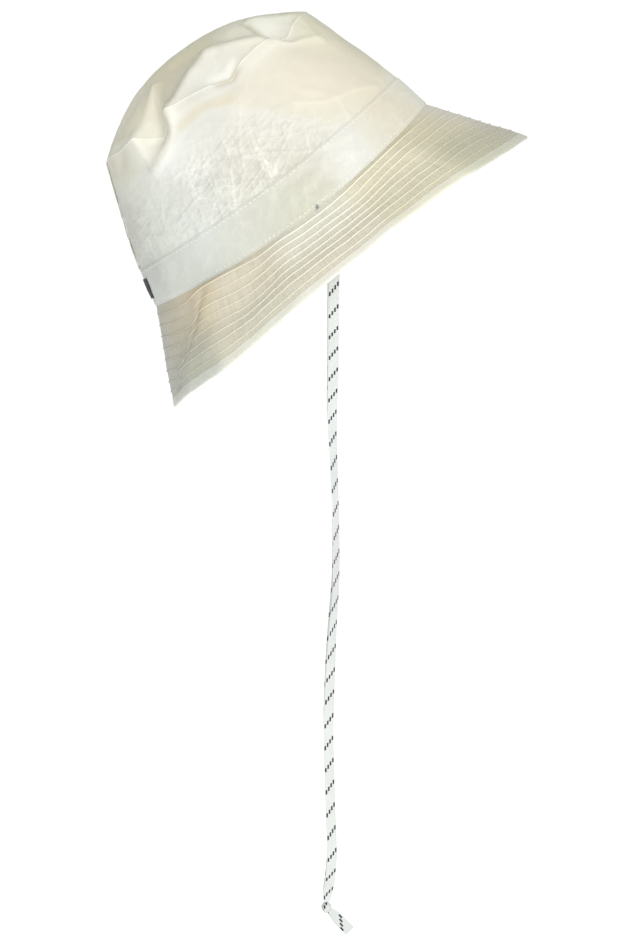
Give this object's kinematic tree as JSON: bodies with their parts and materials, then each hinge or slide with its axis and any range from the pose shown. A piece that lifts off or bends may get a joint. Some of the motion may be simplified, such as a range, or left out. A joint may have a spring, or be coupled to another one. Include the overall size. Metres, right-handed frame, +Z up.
{
  "type": "bucket hat",
  "caption": "Soft bucket sun hat of sheer coated cloth with a domed oval crown, stitched drooping brim and a long knotted chin tape.",
  "frame": {"origin": "centre of the head opening, in the plane of the crown seam", "axes": "+X level, towards the wearer's front, +Y level, towards the wearer's left, +Z up; the hat is tilted back on the head by 36.7 degrees, so its own upward axis lies between +Z and -X"},
  "size_m": [0.2568, 0.2716, 0.5715],
  "materials": {
    "crown_wall": "sheer coated cloth, satin",
    "crown_tip": "sheer coated cloth, satin",
    "seam_cloth": "folded seam cloth, satin",
    "band": "doubled coated cloth, satin",
    "thread": "sewing thread",
    "sweatband": "ribbed ribbon, matte",
    "label": "woven label, plain",
    "brim": "sheer coated cloth, satin",
    "brim_under": "sheer coated cloth, satin",
    "binding": "folded binding cloth, satin",
    "tape": "flat woven tape with dark dashes",
    "bartack": "dense stitching"
  },
  "bodies": {
    "hat": {"crown_wall": "crown_wall", "crown_tip": "crown_tip", "crown_back_seam": "seam_cloth", "tip_seam_cord": "seam_cloth", "hat_band": "band", "band_top_stitch": "thread", "band_bottom_stitch": "thread", "sweatband": "sweatband", "back_label": "label", "brim_upper": "brim", "brim_lower": "brim_under", "brim_edge_binding": "binding", "brim_stitch_row_1": "thread", "brim_stitch_row_2": "thread", "brim_stitch_row_3": "thread", "brim_stitch_row_4": "thread", "brim_stitch_row_5": "thread", "brim_stitch_row_6": "thread", "brim_stitch_row_7": "thread", "brim_stitch_row_8": "thread", "tape_sewn_end_right": "tape", "tape_bartack_right": "bartack", "tape_sewn_end_left": "tape", "tape_bartack_left": "bartack"},
    "chin_tape": {"chin_tape_right": "tape", "chin_tape_left": "tape", "chin_knot": "tape", "chin_tape_end_right": "tape", "chin_tape_end_left": "tape"}
  },
  "joints": [
    {"name": "chin_tape_swing", "type": "hinge", "parent": "hat", "child": "chin_tape", "pos_m": [0.02407, 0, -0.01137], "axis": [0, -1, 0], "range_deg": [-25, 60]}
  ]
}
